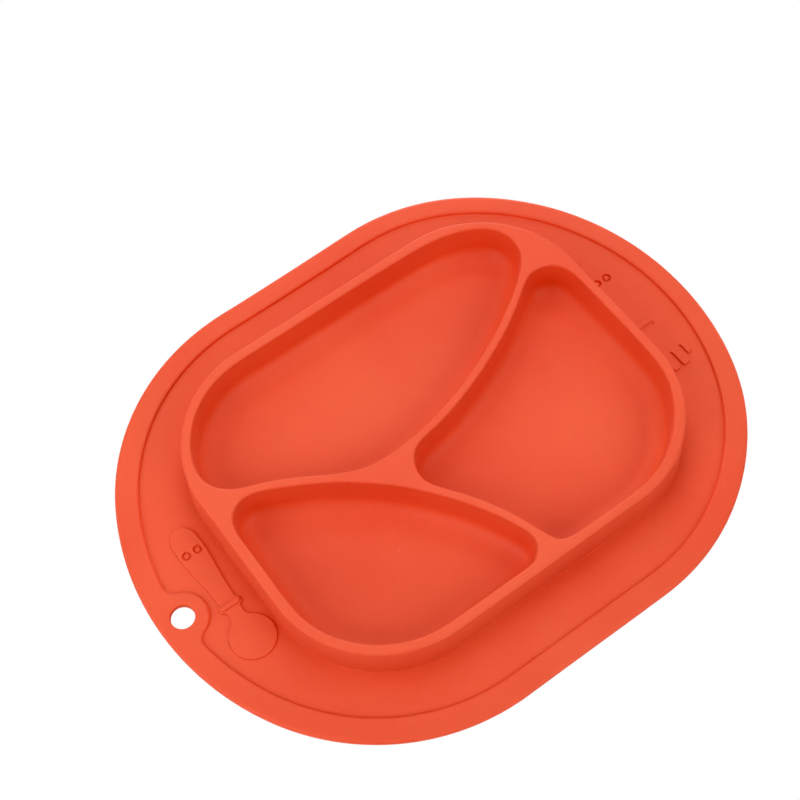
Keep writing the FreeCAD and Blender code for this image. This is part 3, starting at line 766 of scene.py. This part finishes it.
def silicone(name, base, rough, bump, subsurface):
    """Matte silicone: soft translucency, a fine moulded grain, faint tone
    changes, a powdery sheen and a few dust specks."""
    material, tree = empty_material(name)
    place = add_node(tree, "ShaderNodeTexCoord", {}).outputs["Object"]

    def noise(scale, detail, roughness=0.5):
        return add_node(tree, "ShaderNodeTexNoise", {
            "Vector": place, "Scale": scale, "Detail": detail,
            "Roughness": roughness}).outputs["Fac"]

    def ramp(value, start, end):
        return add_node(tree, "ShaderNodeMapRange", {
            "Value": value, "From Min": start, "From Max": end}).outputs["Result"]

    def mix(a, b, factor):
        return add_node(tree, "ShaderNodeMix", {MIX_A: a, MIX_B: b, MIX_FACTOR: factor},
                        data_type="RGBA").outputs[MIX_RESULT]

    def calculate(operation, a, b):
        return add_node(tree, "ShaderNodeMath", {0: a, 1: b}, operation=operation).outputs[0]

    # broad drift between a cooler and a warmer tone, then fine lighter grains
    broad = noise(scale=14.0, detail=3.0)
    fine = noise(scale=900.0, detail=2.0)
    warm = (*scaled(base, (1.02, 1.10, 1.10)), 1.0)
    cool = (*scaled(base, (0.985, 0.92, 0.92)), 1.0)
    light = (*(min(1.0, c * 1.04 + 0.004) for c in base), 1.0)
    color = mix(cool, warm, ramp(broad, start=0.35, end=0.65))
    color = mix(color, light, ramp(fine, start=0.60, end=0.80))

    # dust: small dots in a few of the cells
    cells = add_node(tree, "ShaderNodeTexVoronoi", {"Vector": place, "Scale": 260.0})
    dot = calculate("LESS_THAN", cells.outputs["Distance"], 0.07)
    cell_value = add_node(tree, "ShaderNodeSeparateColor", {0: cells.outputs["Color"]})
    rare = calculate("GREATER_THAN", cell_value.outputs[0], 0.985)
    dust = calculate("MULTIPLY", dot, rare)
    faint = calculate("MULTIPLY", dust, 0.35)
    color = mix(color, (*DUST, 1.0), faint)

    roughness = add_node(tree, "ShaderNodeMapRange", {
        "Value": noise(scale=60.0, detail=4.0),
        "To Min": rough - 0.05, "To Max": rough + 0.07})
    grain = add_node(tree, "ShaderNodeBump", {
        "Height": noise(scale=2600.0, detail=3.0, roughness=0.6),
        "Strength": bump, "Distance": 0.00012})
    surface = add_node(tree, "ShaderNodeBsdfPrincipled", {
        "Base Color": color,
        "Roughness": roughness.outputs["Result"],
        "Normal": grain.outputs["Normal"],
        "Subsurface Weight": subsurface,
        "Subsurface Radius": (1.0, 0.22, 0.10),
        "Subsurface Scale": 0.0022,
        "Specular IOR Level": 0.5,
        "IOR": 1.41,
        "Sheen Weight": 0.05,
        "Sheen Roughness": 0.5})
    add_node(tree, "ShaderNodeOutputMaterial", {"Surface": surface.outputs[0]})
    return material


def dress(obj, material):
    obj.data.materials.clear()
    obj.data.materials.append(material)


plate_material = silicone("plate_silicone", ORANGE, rough=0.50, bump=0.10, subsurface=0.10)
cup_material = silicone("cup_silicone", scaled(ORANGE, (0.97, 0.95, 0.95)),
                        rough=0.42, bump=0.05, subsurface=0.2)
dress(plate, plate_material)
for cup in cups:
    dress(cup, cup_material)
for name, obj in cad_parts.items():
    dress(obj, plate_material if name == "plate_body" else cup_material)


# ----------------------------------------------------------------------- stage
def white_to_camera(tree, lit, white_kind):
    """Shader that the camera sees as plain white, and other rays as the lit one."""
    white = add_node(tree, white_kind, {"Color": WHITE, "Strength": 1.0})
    rays = add_node(tree, "ShaderNodeLightPath", {})
    return add_node(tree, "ShaderNodeMixShader", {
        0: rays.outputs["Is Camera Ray"], 1: lit.outputs[0], 2: white.outputs[0]}).outputs[0]


def build_floor():
    bpy.ops.mesh.primitive_plane_add(size=8.0, location=(0, 0, -0.0002))
    floor = bpy.context.object
    floor.name = "studio_floor"
    material, tree = empty_material("studio_floor")
    matte = add_node(tree, "ShaderNodeBsdfDiffuse", {"Color": (0.90, 0.90, 0.90, 1)})
    glow = add_node(tree, "ShaderNodeEmission", {"Color": WHITE, "Strength": 0.08},
                    name="glow")
    lit = add_node(tree, "ShaderNodeAddShader", {0: matte.outputs[0], 1: glow.outputs[0]})
    surface = white_to_camera(tree, lit, "ShaderNodeEmission")
    add_node(tree, "ShaderNodeOutputMaterial", {"Surface": surface})
    floor.data.materials.append(material)


def build_world():
    world = bpy.data.worlds.new("studio")
    bpy.context.scene.world = world
    world.use_nodes = True
    tree = world.node_tree
    ambient = tree.nodes["Background"]
    ambient.inputs["Color"].default_value = WHITE
    ambient.inputs["Strength"].default_value = 0.143
    surface = white_to_camera(tree, ambient, "ShaderNodeBackground")
    tree.links.new(surface, tree.nodes["World Output"].inputs["Surface"])


# Soft square panels round the plate, all facing the origin: name, azimuth and
# elevation in degrees, distance and size in metres, strength
PANELS = [
    ("panel_top", 0, 90, 1.5, 1.0, 0.1135),
    ("panel_high_a", 146, 62, 1.5, 0.9, 0.055),
    ("panel_high_b", 326, 62, 1.5, 0.9, 0.072),
    ("panel_mid_a", 11, 35, 1.5, 0.9, 0.318),
    ("panel_mid_b", 101, 35, 1.5, 0.9, 0.354),
    ("panel_mid_c", 146, 35, 1.5, 0.9, 0.182),
    ("panel_mid_d", 326, 35, 1.5, 0.9, 0.134),
    ("panel_low_a", 11, 12, 1.5, 0.7, 0.074),
    ("panel_low_b", 101, 12, 1.5, 0.7, 0.063),
    ("panel_low_c", 191, 12, 1.5, 0.7, 0.094),
    ("panel_low_d", 236, 12, 1.5, 0.7, 0.371),
    ("panel_low_e", 281, 12, 1.5, 0.7, 0.026),
    ("panel_low_f", 326, 12, 1.5, 0.7, 0.093),
    ("panel_near_a", 11, 35, 0.75, 0.5, 0.099),
    ("panel_near_b", 236, 35, 0.75, 0.5, 0.127),
    ("panel_near_c", 326, 35, 0.75, 0.5, 0.039),
    ("panel_near_d", 236, 62, 0.75, 0.5, 0.247),
    ("panel_near_e", 326, 62, 0.75, 0.5, 0.019),
]
PANEL_WATTS = 20.0          # at strength 1 and the full distance
FULL_DISTANCE = 1.5


def add_panel(name, azimuth, elevation, distance, size, strength):
    around, up = math.radians(azimuth), math.radians(elevation)
    light = bpy.data.lights.new(name, "AREA")
    light.shape = "SQUARE"
    light.size = size
    light.energy = PANEL_WATTS * strength * (distance / FULL_DISTANCE) ** 2
    panel = bpy.data.objects.new(name, light)
    bpy.context.scene.collection.objects.link(panel)
    place = Vector((distance * math.cos(around) * math.cos(up),
                    distance * math.sin(around) * math.cos(up),
                    distance * math.sin(up)))
    panel.location = place
    panel.rotation_mode = "QUATERNION"
    panel.rotation_quaternion = (Vector((0, 0, 0)) - place).to_track_quat("-Z", "Y")


def set_view(scene):
    """Standard view with a little extra contrast."""
    view = scene.view_settings
    view.view_transform = "Standard"
    view.look = "None"
    view.exposure = 0.0
    view.gamma = 1 / 1.2
    view.use_curve_mapping = True
    view.curve_mapping.black_level = (0.03, 0.03, 0.03)
    view.curve_mapping.white_level = (1.0, 1.0, 1.0)
    view.curve_mapping.update()


CAMERA_PLACE = (0.17136759, 0.25265135, 0.60507413)
CAMERA_ROTATION = (
    (-0.806872, -0.532970, 0.254755),
    (0.589370, -0.697110, 0.408265),
    (-0.040000, 0.479563, 0.876596))


def add_camera(scene):
    lens = bpy.data.cameras.new("camera")
    lens.sensor_width = 36.0
    lens.lens = 72.295
    lens.clip_start = 0.01
    lens.clip_end = 20.0
    camera = bpy.data.objects.new("camera", lens)
    scene.collection.objects.link(camera)
    rotation = Matrix(CAMERA_ROTATION).to_4x4()
    camera.matrix_world = Matrix.Translation(CAMERA_PLACE) @ rotation
    scene.camera = camera


build_floor()
for panel in PANELS:
    add_panel(*panel)
build_world()
set_view(bpy.context.scene)
add_camera(bpy.context.scene)
